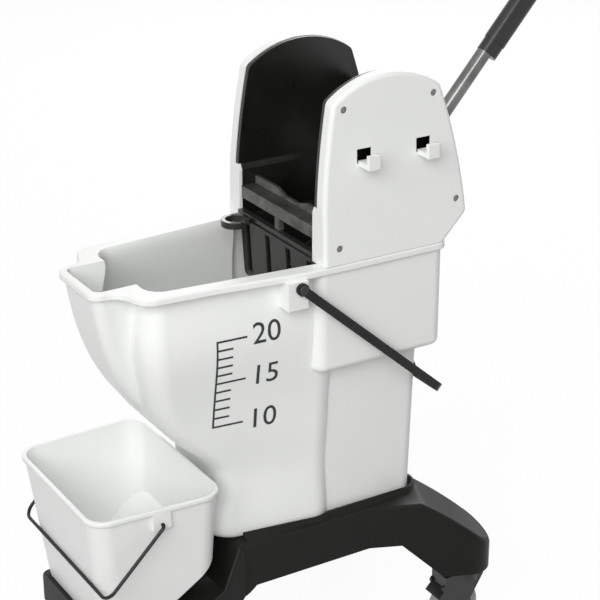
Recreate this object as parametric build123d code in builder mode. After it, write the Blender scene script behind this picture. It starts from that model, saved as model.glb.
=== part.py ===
"""Mop bucket on castors, with a lever wringer on its rim and a small pail in front.

Millimetres, +Z up. The pouring spout points to -Y, the lever leans to +Y. Everything is drawn
about the middle of the four castors, and is moved at the end so that the origin is on the floor
under the middle of the whole length.
"""

import os
from math import acos, atan, copysign, cos, hypot, pi, radians, sin, tan

from build123d import *

os.makedirs("parts", exist_ok=True)

# Clearances
running = 0.05  # radial play of a part that turns on a pin
snug = 0.02  # radial play of a part that is pressed in or screwed in
air = 0.4  # gap between parts that pass or lean on each other

# Castors
wheel_radius = 37.5
wheel_width = 22
hub_radius = 25
hub_width = 19
hub_dish_inner = 10
hub_dish_outer = 21
hub_dish_depth = 4
hub_core_radius = 8
tyre_round = 5
rivet_radius = 4
rivet_head_radius = 6.5
rivet_head = 2.5
head_taper = 30  # slope of the side of a rivet's or a pin's head
castor_trail = 20
castor_height = 99  # floor to the underside of an arm
castor_x = 138
castor_y = 252
front_castor_x = 105
front_castor_y = 240
fork_wall = 4
fork_side_play = 2
fork_eye_radius = 11
crown_radius = 20
crown_gap = 3.5  # wheel to the crown above it
crown_length = 46
hood_front = 35  # the hood over the wheel runs between these angles, from the front upwards
hood_rear = 120
leg_neck = 6
leg_neck_front = 24
leg_neck_rear = 15
leg_neck_drop = 9
stem_radius = 5.5
stem_head_radius = 9
stem_head_height = 2.4
stem_flange_radius = 15
stem_flange_height = 3.2
stem_reach = 28  # length of stem inside the arm

# Base
deck_z = 220  # top of the base, where the bucket stands
skirt_z = 156  # lower edge of the base between the arms
base_half_width = 112
base_wall = 4
arm_end_radius = 34
arm_end_height = 42
arm_root_radius = 46
arm_root_y = 112
arm_fall_length = 72  # the rear arms curve down from here to their ends, measured from the stem
arm_fall_middle = 17
arm_fall_middle_z = 184
tray_z = 140  # top of the front tray
tray_front_y = -308
tray_half_width = 100
tray_lip = 4
tray_lip_width = 4
tray_lip_end = 15  # bare end of the tray beside its lip
tray_overlap = 30  # how far the tray runs under the deck
slope_top_y = -107  # where the deck turns down to the tray
slope_foot_y = -205
slope_knee_y = -132
slope_knee_z = 165
front_foot_y = -148  # rear end of the front feet, at the bottom
front_foot_top_y = -80
base_rear_y = 198
rear_foot_run = 15  # how far the rear feet run forward of the arm's end, at the bottom
boss_wall = 9  # plastic round a castor stem
deck_corner = 20
tray_corner = 12
cradle_x = 60  # ribs on the slope that carry the pail
cradle_width = 8
kerb_height = 8  # ridge on the deck round the bucket
kerb_width = 10
kerb_gap = 6

# Bucket
bucket_wall = 3.5
bucket_floor = 4
rim_z = 604
rim_height = 9
rim_round = 2.5
rear_wall_y = 192
rear_wall_draft = 5
front_section_y = 52  # where the wide front part of the tub ends
rear_half_width = 101
rear_half_width_low = 91
rear_corner = 18
shoulder_front_y = 8
shoulder_rear_y = 208
shoulder_z = 452
shoulder_half_width = 123
shoulder_corner = 16
shoulder_round = 10
seat_half_opening = 105  # opening in the rim where the wringer hangs
seat_front_y = 0
seat_rear_y = 198
seat_corner = 12
# Half of the rim's outline from the spout to the back, with the rounding at each corner
rim_outline = [
    (54, -278, 18),
    (57, -240, 26),
    (102, -230, 30),
    (110.5, -129, 200),
    (126.5, -8, 200),
    (128, 60, 200),
    (128, 212, 18),
]
# Height, front edge, half width at the front and half width at the back of the tub's front part
tub_stations = [
    (deck_z, -107, 78, 101),
    (290, -113, 76, 104),
    (330, -126, 75, 105),
    (363, -160, 77, 106),
    (407, -196, 81, 107),
    (460, -215, 90, 111),
    (530, -225, 97, 115.5),
    (rim_z, -229, 99, 121),
]
# Height, front edge and half width of the spout
spout_stations = [
    (385, -168, 20),
    (440, -223, 38),
    (500, -252, 46),
    (555, -266, 49),
    (rim_z, -273, 50),
]
tub_corner = 30
spout_corner = 14
spout_root_y = -120
bucket_screw_radius = 2.5
bucket_screw_length = 18
bucket_screw_head = 5.5
bucket_screw_head_height = 3
bucket_screw_x = 60
bucket_screw_front_y = -60
bucket_screw_rear_y = 150
bucket_boss_radius = 8
bucket_boss_height = 12

# Bucket bail
bail_pivot_y = -21
bail_pivot_z = 586
bail_pin_radius = 4
bail_pin_head_radius = 7
bail_pin_head = 2.5
bail_pin_reach = 10  # length of the pin inside the boss
bail_length = 298  # pivot to the middle of the cross-bar
bail_strap = 5
bail_strap_width = 12
bail_eye_radius = 8.5
bail_corner = 16
bail_grip_round = 4
bail_inner_half_width = 131
bail_grip_radius = 13
bail_grip_length = 110
bail_boss_front = 19
bail_boss_rear = 11
bail_boss_bottom_z = 557
bail_boss_root = 98

# Small pail in front
pail_rim_z = 324
pail_front_y = -323
pail_prow_gap = -8
pail_half_front = 121
pail_half_rear = 130
pail_wall = 2.5
pail_rim = 2.5
pail_rim_height = 6
pail_corner = 30
pail_front_draft = 6.5
pail_side_draft = 5
pail_rear_draft = 1.5
pail_slant_foot_y = -243  # the underside is flat up to here and slants up behind it
pail_slant_top_z = 222
pail_slope_gap = 0.5
pail_rim_round = 1.6
pail_ear_y = -226
pail_ear_drop = 22
pail_ear_width = 26
pail_ear_height = 24
pail_ear_depth = 6
pail_ear_hole = 4.5
pail_wire_radius = 2.4
pail_wire_angle = 45  # fall of the wire from the ear to its cross-bar
pail_wire_bend = 16
pail_wire_eye_bend = 5
pail_wire_clear = 6  # ear to the middle of the wire beside it

# Wringer side walls and covers
cover_face = 127  # outside of a cover at its foot; it leans inwards to the top
cover_top_face = 117
cover_wall = 2.5
cover_round = 6
cheek_outer = 105.2
cheek_rim = 109  # outer edge of the flange round a side wall
cheek_rim_wall = 3
cheek_inner = 102
cheek_low_inner = 95
cheek_step_z = 672
cheek_step_slope = 8
cheek_margin = 1.2
cheek_block_rear_y = 205
foot_thickness = 3
foot_screw_radius = 2
foot_screw_head = 4
foot_screw_head_height = 2.4
foot_screw_x = 114
foot_screw_ys = (56, 168)
seat_thickness = 3
seat_outer = cover_face - cover_wall - 1
seat_flange_front_y = 28
seat_flange_rear_y = 196
cover_bottom_z = rim_z + air
cover_front_y = 16.5
cover_front_bend_z = 685  # the front edge is upright up to here and curves back above
cover_front_mid_y = 21
cover_front_mid_z = 740
cover_front_top_y = 32
cover_front_top_z = 816
cover_top_z = 846
cover_top_y = 119
cover_rear_top_y = 196.5
cover_rear_top_z = 819.5
cover_rear_mid_y = 226.5
cover_rear_mid_z = 719
cover_rear_y = 240
cover_rear_z = 640
cover_rear_bottom_y = 204
cover_corner = 12
cover_tail_corner = 12
chin_depth = 5  # the cover's front wall is carried inwards below the ledge
window_width = 22
window_height = 19
window_z = 744.5
window_ys = (77.7, 168.7)
hook_reach = 25
hook_width = 17
hook_thickness = 7
hook_tip = 12
cover_screw_radius = 2
cover_screw_head = 4.2
cover_screw_head_height = 2.8
cover_sink = 4
cover_sink_radius = 4.6
cover_post_radius = 6.5
cheek_post_radius = 5
axle_boss_radius = 11.3
cheek_post_end = 112
cover_screw_tip = 103.2
cover_screw_places = [(48, 808), (184.5, 810), (39.5, 626.5)]

# Wringer basket
basket_wall = 4
basket_front_y = 20
basket_front_low_y = 28
basket_low_z = 508
basket_rear_y = 192
basket_rear_z = 566
basket_bend = 14
basket_end_wall = 3.5
rail_front_y = 14
rail_depth = 10
rail_bottom_z = 603
rail_top_z = 617
rail_groove = 4
apron_z = 621
apron_rear_y = 225
slot_width = 7
slot_pitch = 21
slot_count = 8
front_slot_width = 12
front_slot_pitch = 54
front_slot_count = 4
front_slot_top_z = 600
front_slot_bottom_z = 528
floor_slot_front_y = 52
floor_slot_rear_y = 172

# Front jaw
jaw_front_y = 20
jaw_rear_y = 47
jaw_bottom_z = 633
jaw_deck_z = 650
jaw_lip_z = 661
jaw_lip_width = 5
jaw_notch_top = 40
jaw_notch_bottom = 16
jaw_post_width = 12
jaw_post_depth = 7
jaw_notch_depth = 7
jaw_notch_round = 7
jaw_screw_radius = 2
jaw_screw_head = 4.5
jaw_screw_head_height = 2.6
jaw_screw_depth = 12
jaw_screw_y = 38
jaw_screw_z = 641.5

# Mop hook
hook_ring_x = -66
hook_ring_y = -7
hook_ring_inner = 13.5
hook_ring_wall = 6
hook_ring_height = 9
hook_ring_top_z = 616
hook_ring_open_from = 2  # the ring is open between these angles, measured from +X
hook_ring_open_to = 62
hook_root_left = -84
hook_root_right = -60

# Lever and press plate
axle_y = 222
axle_z = 661
axle_radius = 7
axle_tap_depth = 16
bush_wall = 2
bush_length = 24
lever_lean = 41  # lean of the lever behind the vertical, at rest
plate_lean = 12  # lean of the plate in front of the vertical, at rest
hub_half_width = 21
hub_outer_radius = 19
socket_radius = 14.6
socket_length = 72
socket_round = 2
socket_flat_width = 14
tube_radius = 10.6
tube_wall = 1.6
tube_start = 22
grip_start = 200
grip_length = 126
grip_front_radius = 12.4
grip_back_radius = 12
grip_back_offset = 10  # the grip is deeper at the back of the tube
grip_step = 1
grip_collar_length = 20
grip_end_wall = 6
grip_end_round = 6
grip_groove_depth = 2.4
grip_groove_pitch = 21
grip_groove_count = 4
grip_groove_start = 38
grip_groove_radius = 13
socket_bolt_radius = 3
socket_bolt_head = 5.5
socket_bolt_head_height = 3.5
socket_bolt_stations = (40, 58)
plate_half_width = 92
plate_axle_gap = 1
plate_start = axle_radius + plate_axle_gap
plate_length = 118
plate_thickness = 6
plate_corner = 14
plate_notch_half_width = 24
plate_notch_depth = 25
plate_rib_height = 11
plate_rib_width = 4
plate_rib_pitch = 22
plate_rib_count = 8
plate_rib_start = 27
plate_rib_end = 92
knuckle_radius = 15
knuckle_inner = 26
knuckle_outer = 91
pad_half_width = 17
pad_start = axle_radius + plate_axle_gap
pad_length = 70
pad_thickness = 6
plate_bolt_radius = 3
plate_bolt_head = 5.5
plate_bolt_head_height = 3.5
plate_bolt_stations = (38, 58)
stop_lug_reach = 28
stop_lug_width = 12
stop_rib_width = 6
stop_rib_height = 12


def rounded_outline(points, radii):
    """A closed outline with each of its corners rounded."""
    with BuildSketch() as outline:
        with BuildLine():
            Polyline(*points, close=True)
        make_face()
        for point, radius in zip(points, radii):
            corner = outline.vertices().sort_by_distance(point)[0]
            fillet(corner, radius)
    return outline.sketch


def mirrored(points):
    """Half an outline, front to back on +X, made whole across the middle."""
    return points + [(-x, y) for x, y in reversed(points)]


def mirror_image(piece):
    """The same piece for the other side."""
    with BuildPart() as other:
        mirror(piece, about=Plane.YZ)
    return other.part


# Bucket: the front part, the narrower back part, the spout and the shoulder under the wringer
def tub_solid(inset):
    """The bucket filled in, or, inset by its wall, the space inside it."""
    lift = {deck_z: bucket_floor, rim_z: rim_height} if inset else {}
    with BuildPart() as body:
        for z, front_y, half_front, half_rear in tub_stations:
            with BuildSketch(Plane.XY.offset(z + lift.get(z, 0))):
                front = (half_front - inset, front_y + inset)
                rear = (half_rear - inset, front_section_y - inset)
                add(rounded_outline(mirrored([front, rear]), [tub_corner - inset] * 4))
        loft()
        for z, front_y, half_width in spout_stations:
            with BuildSketch(Plane.XY.offset(z + lift.get(z, 0))):
                front = (half_width - inset, front_y + inset)
                rear = (half_width - inset, spout_root_y)
                add(rounded_outline(mirrored([front, rear]), [spout_corner - inset] * 4))
        loft()
        rear_stations = [(deck_z, rear_half_width_low, rear_wall_draft), (rim_z, rear_half_width, 0)]
        for z, half_width, draft in rear_stations:
            with BuildSketch(Plane.XY.offset(z + lift.get(z, 0))):
                rear = (half_width - inset, rear_wall_y - draft - inset)
                add(rounded_outline(mirrored([(half_width - inset, 0), rear]), [rear_corner - inset] * 4))
        loft()
        with BuildPart(mode=Mode.PRIVATE) as shoulder:
            with BuildSketch(Plane.XY.offset(shoulder_z + inset)):
                front = (shoulder_half_width - inset, shoulder_front_y + inset)
                rear = (shoulder_half_width - inset, shoulder_rear_y - inset)
                add(rounded_outline(mirrored([front, rear]), [shoulder_corner - inset] * 4))
            extrude(amount=rim_z - lift.get(rim_z, 0) - shoulder_z - inset)
            fillet(shoulder.edges().group_by(Axis.Z)[0], shoulder_round - inset)
        add(shoulder.part)
    return body.part


bucket_screw_places = [
    (side * bucket_screw_x, y) for side in (1, -1) for y in (bucket_screw_front_y, bucket_screw_rear_y)
]
bail_boss_face = bail_inner_half_width - air
rim_half = [(x, y) for x, y, radius in rim_outline]
rim_radii = [radius for x, y, radius in rim_outline]

with BuildPart() as bucket_shell:
    add(tub_solid(0))
    with BuildPart(mode=Mode.PRIVATE) as rim:
        with BuildSketch(Plane.XY.offset(rim_z - rim_height)):
            add(rounded_outline(mirrored(rim_half), rim_radii + rim_radii[::-1]))
        extrude(amount=rim_height)
        fillet(rim.edges().group_by(Axis.Z)[-1], rim_round)
    add(rim.part)
    # Blocks under the rim that carry the bail
    for side in (1, -1):
        with BuildSketch(Plane.YZ.offset(side * bail_boss_root)):
            front = (bail_pivot_y - bail_boss_front, bail_boss_bottom_z)
            rear = (bail_pivot_y + bail_boss_rear, rim_z - rim_height)
            with BuildLine():
                Polyline(front, (rear[0], front[1]), rear, (front[0], rear[1]), close=True)
            make_face()
        extrude(amount=side * (bail_boss_face - bail_boss_root))
    add(tub_solid(bucket_wall), mode=Mode.SUBTRACT)
    # Opening that the wringer hangs in
    with BuildSketch(Plane.XY.offset(rim_z - rim_height)):
        seat = mirrored([(seat_half_opening, seat_front_y), (seat_half_opening, seat_rear_y)])
        add(rounded_outline(seat, [seat_corner] * 4))
    extrude(amount=rim_height, mode=Mode.SUBTRACT)
    for side in (1, -1):
        with BuildSketch(Plane.YZ.offset(side * bail_boss_face)):
            with Locations((bail_pivot_y, bail_pivot_z)):
                Circle(bail_pin_radius + snug)
        extrude(amount=-side * bail_pin_reach, mode=Mode.SUBTRACT)
    # Bosses in the floor for the screws from the base
    with BuildSketch(Plane.XY.offset(deck_z)):
        with Locations(*bucket_screw_places):
            Circle(bucket_boss_radius)
    extrude(amount=bucket_floor + bucket_boss_height)
    with BuildSketch(Plane.XY.offset(deck_z)):
        with Locations(*bucket_screw_places):
            Circle(bucket_screw_radius + snug)
    extrude(amount=bucket_screw_length - base_wall, mode=Mode.SUBTRACT)

with BuildPart() as bucket_screws:
    with BuildSketch(Plane.XY.offset(deck_z - base_wall)):
        with Locations(*bucket_screw_places):
            Circle(bucket_screw_radius)
    extrude(amount=bucket_screw_length)
    with BuildSketch(Plane.XY.offset(deck_z - base_wall)):
        with Locations(*bucket_screw_places):
            Circle(bucket_screw_head)
    extrude(amount=-bucket_screw_head_height)
    fillet(bucket_screws.edges().group_by(Axis.Z)[0], bucket_screw_head_height / 2)

# Base: one moulding with a deck for the bucket, a tray for the pail and four arms
pail_rear_y = tub_stations[2][1] + pail_prow_gap
pail_slant = (pail_slant_top_z - tray_z) / (pail_rear_y - pail_slant_foot_y)
arm_top_z = castor_height + arm_end_height
arm_end_y = castor_y + arm_end_radius
castor_pairs = [(front_castor_x, -front_castor_y), (castor_x, castor_y)]
castor_places = [(side * x, y) for x, y in castor_pairs for side in (1, -1)]
rear_foot_y = castor_y - arm_end_radius - rear_foot_run
arm_root_x = base_half_width - arm_root_radius
arm_run = hypot(castor_x - arm_root_x, castor_y - arm_root_y)
arm_way = ((castor_x - arm_root_x) / arm_run, (castor_y - arm_root_y) / arm_run)
arm_fall = atan((deck_z - arm_top_z) / (arm_fall_length + arm_end_radius))


def base_solid(inset):
    """The base filled in, or, inset by its wall, the space under it."""
    low = castor_height - inset
    skirt = skirt_z - inset
    with BuildPart() as body:
        with BuildSketch(Plane.YZ):
            with BuildLine():
                Polyline(
                    (tray_front_y, low),
                    (tray_front_y, tray_z - inset),
                    (slope_foot_y, tray_z - inset),
                    (slope_knee_y, slope_knee_z - inset),
                    (slope_top_y, deck_z - inset),
                    (arm_end_y, deck_z - inset),
                    (arm_end_y, low),
                    (rear_foot_y, low),
                    (rear_foot_y - (skirt_z - castor_height), skirt),
                    (front_foot_top_y, skirt),
                    (front_foot_y, low),
                    close=True,
                )
            make_face()
        extrude(amount=castor_x + arm_end_radius, both=True)
        with BuildSketch(Plane.XY.offset(low)):
            deck = mirrored([(base_half_width, slope_top_y), (base_half_width, base_rear_y)])
            add(rounded_outline(deck, [deck_corner] * 4))
            tray_rear_y = slope_top_y + tray_overlap
            tray = mirrored([(tray_half_width, tray_front_y), (tray_half_width, tray_rear_y)])
            add(rounded_outline(tray, [tray_corner] * 4))
            for x, y in castor_places:
                foot = Edge.make_circle(arm_end_radius).moved(Location((x, y)))
                root = Edge.make_circle(arm_root_radius)
                make_hull([foot, root.moved(Location((copysign(arm_root_x, x), copysign(arm_root_y, y))))])
            if inset:
                offset(amount=-inset, mode=Mode.REPLACE)
        extrude(amount=deck_z, mode=Mode.INTERSECT)
        # The tops of the rear arms curve down to their ends
        lower = inset / cos(arm_fall)
        fall_start = (-arm_fall_length, deck_z - lower)
        fall_end = (arm_end_radius, arm_top_z - lower)
        for side in (1, -1):
            arm_side = Plane(
                origin=(side * castor_x, castor_y, 0),
                x_dir=(side * arm_way[0], arm_way[1], 0),
                z_dir=(arm_way[1], -side * arm_way[0], 0),
            )
            with BuildSketch(arm_side):
                with BuildLine():
                    ThreePointArc(fall_start, (-arm_fall_middle, arm_fall_middle_z - lower), fall_end)
                    Polyline(
                        fall_end,
                        (2 * arm_end_radius, fall_end[1]),
                        (2 * arm_end_radius, 2 * deck_z),
                        (-arm_fall_length, 2 * deck_z),
                        fall_start,
                    )
                make_face()
            extrude(amount=castor_x, both=True, mode=Mode.SUBTRACT)
    return body.part


base_outer = base_solid(0)
with BuildPart() as base_frame:
    add(base_outer)
    # Kerb round the foot of the bucket, open to the front
    with BuildSketch(Plane.XY.offset(deck_z)) as kerb:
        foot_z, foot_front_y, foot_half_front, foot_half_rear = tub_stations[0]
        foot = mirrored([(foot_half_front, foot_front_y), (foot_half_rear, front_section_y)])
        add(rounded_outline(foot, [tub_corner] * 4))
        low_rear_y = rear_wall_y - rear_wall_draft
        back = mirrored([(rear_half_width_low, 0), (rear_half_width_low, low_rear_y)])
        add(rounded_outline(back, [rear_corner] * 4))
        foot_outline = kerb.sketch
        offset(amount=kerb_width, mode=Mode.REPLACE)
        offset(foot_outline, amount=kerb_gap, mode=Mode.SUBTRACT)
        with Locations((0, slope_top_y)):
            Rectangle(2 * base_half_width, 2 * deck_corner, mode=Mode.SUBTRACT)
    extrude(amount=kerb_height)
    # Ribs that the pail's slanted underside lies on
    for side in (1, -1):
        with BuildSketch(Plane.YZ.offset(side * cradle_x)):
            with BuildLine():
                Polyline(
                    (pail_slant_foot_y, tray_z),
                    (pail_rear_y, pail_slant_top_z),
                    (pail_rear_y, tray_z - base_wall),
                    (pail_slant_foot_y, tray_z - base_wall),
                    close=True,
                )
            make_face()
        extrude(amount=cradle_width / 2, both=True)
    add(base_solid(base_wall), mode=Mode.SUBTRACT)
    # Lip that keeps the pail on its tray
    with BuildSketch(Plane.XY.offset(tray_z)):
        with Locations((0, tray_front_y + tray_lip_width / 2)):
            Rectangle(2 * (tray_half_width - tray_lip_end), tray_lip_width)
    extrude(amount=tray_lip)
    # Sockets for the castor stems
    with BuildPart(mode=Mode.PRIVATE) as bosses:
        with BuildSketch(Plane.XY.offset(castor_height)):
            with Locations(*castor_places):
                Circle(stem_radius + boss_wall)
        extrude(amount=deck_z - castor_height)
        add(base_outer, mode=Mode.INTERSECT)
    add(bosses.part)
    with BuildSketch(Plane.XY.offset(castor_height)):
        with Locations(*castor_places):
            Circle(stem_radius + snug)
    extrude(amount=stem_reach, mode=Mode.SUBTRACT)
    with BuildSketch(Plane.XY.offset(deck_z)):
        with Locations(*bucket_screw_places):
            Circle(bucket_screw_radius + snug)
    extrude(amount=-base_wall, mode=Mode.SUBTRACT)

pieces = {
    "base_frame": base_frame.part,
    "bucket_shell": bucket_shell.part,
    "bucket_screws": bucket_screws.part,
}

# Castors: stem, fork, rivet, hub and tyre at each corner, all trailing towards the front
castor_places = {
    "front_left": (-front_castor_x, -front_castor_y),
    "front_right": (front_castor_x, -front_castor_y),
    "rear_left": (-castor_x, castor_y),
    "rear_right": (castor_x, castor_y),
}
crown_z = 2 * wheel_radius + crown_gap
flange_z = castor_height - stem_flange_height
fork_inner = wheel_width / 2 + fork_side_play
fork_outer = fork_inner + fork_wall
hood_inner = wheel_radius + crown_gap
crown_top_z = flange_z - air

for corner, (stem_x, stem_y) in castor_places.items():
    wheel_plane = Plane(origin=(stem_x, stem_y - castor_trail, wheel_radius), x_dir=(0, 1, 0), z_dir=(1, 0, 0))

    stem_foot = Plane((stem_x, stem_y, crown_z - air))
    with BuildPart() as stem:
        with BuildSketch(stem_foot):
            Circle(stem_head_radius)
        extrude(amount=-stem_head_height)
        with BuildSketch(stem_foot):
            Circle(stem_radius)
        extrude(amount=castor_height + stem_reach - crown_z + air)
        with BuildSketch(stem_foot.offset(flange_z - crown_z + air)):
            Circle(stem_flange_radius)
        extrude(amount=stem_flange_height)
    pieces[f"{corner}_stem"] = stem.part

    with BuildPart() as fork:
        # Crown round the stem
        with BuildSketch(Plane.XY.offset(crown_z)):
            with Locations((stem_x, stem_y)):
                Circle(crown_radius)
            with Locations((stem_x, stem_y - crown_length / 2)):
                Rectangle(2 * fork_outer, crown_length)
        extrude(amount=crown_top_z - crown_z)
        # Hood over the wheel
        with BuildSketch(wheel_plane):
            Circle(hood_inner + fork_wall)
            with BuildLine():
                start = (-2 * hood_inner * cos(radians(hood_front)), 2 * hood_inner * sin(radians(hood_front)))
                end = (-2 * hood_inner * cos(radians(hood_rear)), 2 * hood_inner * sin(radians(hood_rear)))
                Polyline((0, 0), start, (start[0], 2 * end[1]), (end[0], 2 * end[1]), end, close=True)
            make_face(mode=Mode.INTERSECT)
        extrude(amount=fork_outer, both=True)
        # Legs
        for level in (fork_inner, -fork_outer):
            with BuildSketch(wheel_plane.offset(level)):
                neck = Edge.make_circle(leg_neck)
                neck_z = crown_top_z - wheel_radius - leg_neck_drop
                make_hull(
                    [
                        Edge.make_circle(fork_eye_radius),
                        neck.moved(Location((-leg_neck_front, neck_z - leg_neck_drop))),
                        neck.moved(Location((castor_trail + leg_neck_rear, neck_z))),
                    ]
                )
            extrude(amount=fork_wall)
        # Room for the wheel, then the holes
        with BuildSketch(wheel_plane):
            Circle(hood_inner)
        extrude(amount=fork_inner, both=True, mode=Mode.SUBTRACT)
        with BuildSketch(wheel_plane):
            Circle(rivet_radius + snug)
        extrude(amount=fork_outer, both=True, mode=Mode.SUBTRACT)
        with BuildSketch(stem_foot):
            Circle(stem_radius + running)
        extrude(amount=castor_height, mode=Mode.SUBTRACT)
        with BuildSketch(stem_foot.offset(air)):
            Circle(stem_head_radius + fork_side_play)
        extrude(amount=-wheel_radius, mode=Mode.SUBTRACT)
    pieces[f"{corner}_fork"] = fork.part

    with BuildPart() as rivet:
        with BuildSketch(wheel_plane):
            Circle(rivet_radius)
        extrude(amount=fork_outer, both=True)
        for side in (1, -1):
            with BuildSketch(wheel_plane.offset(side * fork_outer)):
                Circle(rivet_head_radius)
            extrude(amount=side * rivet_head, taper=head_taper)
    pieces[f"{corner}_rivet"] = rivet.part

    with BuildPart() as hub:
        with BuildSketch(wheel_plane):
            Circle(hub_radius)
        extrude(amount=hub_width / 2, both=True)
        for side in (1, -1):
            with BuildSketch(wheel_plane.offset(side * hub_width / 2)):
                Circle(hub_dish_outer)
                Circle(hub_dish_inner, mode=Mode.SUBTRACT)
            extrude(amount=-side * hub_dish_depth, mode=Mode.SUBTRACT)
        with BuildSketch(wheel_plane):
            Circle(hub_core_radius)
        extrude(amount=fork_inner - air, both=True)
        with BuildSketch(wheel_plane):
            Circle(rivet_radius + running)
        extrude(amount=fork_inner, both=True, mode=Mode.SUBTRACT)
    pieces[f"{corner}_hub"] = hub.part

    with BuildPart() as tyre:
        with BuildSketch(wheel_plane):
            Circle(wheel_radius)
        extrude(amount=wheel_width / 2, both=True)
        fillet(tyre.edges().filter_by(GeomType.CIRCLE), tyre_round)
        with BuildSketch(wheel_plane):
            Circle(hub_radius + snug)
        extrude(amount=wheel_width / 2, both=True, mode=Mode.SUBTRACT)
    pieces[f"{corner}_tyre"] = tyre.part

# Bail of the bucket, resting against the rear wall
bail_drop = pi / 4
for step in range(6):
    cross_z = bail_pivot_z - bail_length * sin(bail_drop)
    wall_y = rear_wall_y - rear_wall_draft * (rim_z - cross_z) / (rim_z - deck_z)
    bail_drop = acos((wall_y + bail_grip_radius + air - bail_pivot_y) / bail_length)
bail_plane = Plane(
    origin=(0, bail_pivot_y, bail_pivot_z), x_dir=(1, 0, 0), z_dir=(0, sin(bail_drop), cos(bail_drop))
)
cross_plane = Plane(
    origin=bail_plane.from_local_coords((0, bail_length, 0)),
    x_dir=(0, cos(bail_drop), -sin(bail_drop)),
    z_dir=(1, 0, 0),
)
bail_outer = bail_inner_half_width + bail_strap
bail_far = bail_length + bail_strap / 2

with BuildPart() as bucket_bail:
    with BuildSketch(bail_plane):
        outer = mirrored([(bail_outer, 0), (bail_outer, bail_far)])
        add(rounded_outline(outer[1:3] + [outer[3], outer[0]], [bail_corner, bail_corner]))
        inner = mirrored([(bail_inner_half_width, -bail_far), (bail_inner_half_width, bail_far - bail_strap)])
        inner_corner = bail_corner - bail_strap
        inside = rounded_outline(inner[1:3] + [inner[3], inner[0]], [inner_corner, inner_corner])
        add(inside, mode=Mode.SUBTRACT)
    extrude(amount=bail_strap_width / 2, both=True)
    for side in (1, -1):
        with BuildSketch(Plane.YZ.offset(side * bail_inner_half_width)):
            with Locations((bail_pivot_y, bail_pivot_z)):
                Circle(bail_eye_radius)
        extrude(amount=side * bail_strap)
        with BuildSketch(Plane.YZ.offset(side * bail_inner_half_width)):
            with Locations((bail_pivot_y, bail_pivot_z)):
                Circle(bail_pin_radius + running)
        extrude(amount=side * bail_strap, mode=Mode.SUBTRACT)
pieces["bucket_bail"] = bucket_bail.part

with BuildPart() as bail_grip:
    with BuildSketch(cross_plane):
        Circle(bail_grip_radius)
    extrude(amount=bail_grip_length / 2, both=True)
    fillet(bail_grip.edges().filter_by(GeomType.CIRCLE), bail_grip_round)
    with BuildSketch(cross_plane):
        Rectangle(bail_strap + 2 * snug, bail_strap_width + 2 * snug)
    extrude(amount=bail_grip_length, both=True, mode=Mode.SUBTRACT)
pieces["bail_grip"] = bail_grip.part

with BuildPart() as bail_pivots:
    for side in (1, -1):
        with BuildSketch(Plane.YZ.offset(side * (bail_boss_face - bail_pin_reach))):
            with Locations((bail_pivot_y, bail_pivot_z)):
                Circle(bail_pin_radius)
        extrude(amount=side * (bail_pin_reach + bail_strap + 2 * air))
        with BuildSketch(Plane.YZ.offset(side * (bail_outer + air))):
            with Locations((bail_pivot_y, bail_pivot_z)):
                Circle(bail_pin_head_radius)
        extrude(amount=side * bail_pin_head, taper=head_taper)
pieces["bail_pivots"] = bail_pivots.part

# Small pail, with a slanted underside that lies on the ribs of the base
pail_depth = pail_rim_z - tray_z


def pail_solid(inset):
    """The pail filled in, or, inset by its wall, the space inside it."""
    with BuildPart() as body:
        for z, fall in ((tray_z + inset, pail_depth - inset), (pail_rim_z + inset, 0)):
            shrink = pail_rim + inset
            side = shrink + fall * tan(radians(pail_side_draft))
            front = (pail_half_front - side, pail_front_y + shrink + fall * tan(radians(pail_front_draft)))
            rear = (pail_half_rear - side, pail_rear_y - shrink - fall * tan(radians(pail_rear_draft)))
            with BuildSketch(Plane.XY.offset(z)):
                add(rounded_outline(mirrored([front, rear]), [pail_corner - shrink] * 4))
        loft()
        # The part under the slant is cut away
        rise = (pail_slope_gap + inset) / cos(atan(pail_slant))
        with BuildSketch(Plane.YZ):
            with BuildLine():
                Polyline(
                    (pail_front_y, tray_z + rise + (pail_front_y - pail_slant_foot_y) * pail_slant),
                    (slope_top_y, tray_z + rise + (slope_top_y - pail_slant_foot_y) * pail_slant),
                    (slope_top_y, tray_z - pail_depth),
                    (pail_front_y, tray_z - pail_depth),
                    close=True,
                )
            make_face()
        extrude(amount=pail_half_rear, both=True, mode=Mode.SUBTRACT)
    return body.part


ear_z = pail_rim_z - pail_ear_drop
ear_share = (pail_ear_y - pail_front_y) / (pail_rear_y - pail_front_y)
ear_face = pail_half_front + (pail_half_rear - pail_half_front) * ear_share
wire_x = ear_face + pail_wire_clear

with BuildPart() as front_pail:
    add(pail_solid(0))
    with BuildPart(mode=Mode.PRIVATE) as pail_edge:
        with BuildSketch(Plane.XY.offset(pail_rim_z - pail_rim_height)):
            outline = mirrored([(pail_half_front, pail_front_y), (pail_half_rear, pail_rear_y)])
            add(rounded_outline(outline, [pail_corner] * 4))
        extrude(amount=pail_rim_height)
        fillet(pail_edge.edges().group_by(Axis.Z)[-1], pail_rim_round)
    add(pail_edge.part)
    for side in (1, -1):
        with BuildSketch(Plane.YZ.offset(side * ear_face)):
            ear_top = pail_rim_z - pail_rim_height
            with Locations((pail_ear_y, ear_top - pail_ear_height / 2)):
                Rectangle(pail_ear_width, pail_ear_height)
        extrude(amount=-side * pail_ear_depth)
    add(pail_solid(pail_wall), mode=Mode.SUBTRACT)
    for side in (1, -1):
        with BuildSketch(Plane.YZ.offset(side * ear_face)):
            with Locations((pail_ear_y, ear_z)):
                Circle(pail_wire_radius + running)
        extrude(amount=-side * pail_ear_hole, mode=Mode.SUBTRACT)
pieces["front_pail"] = front_pail.part

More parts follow.
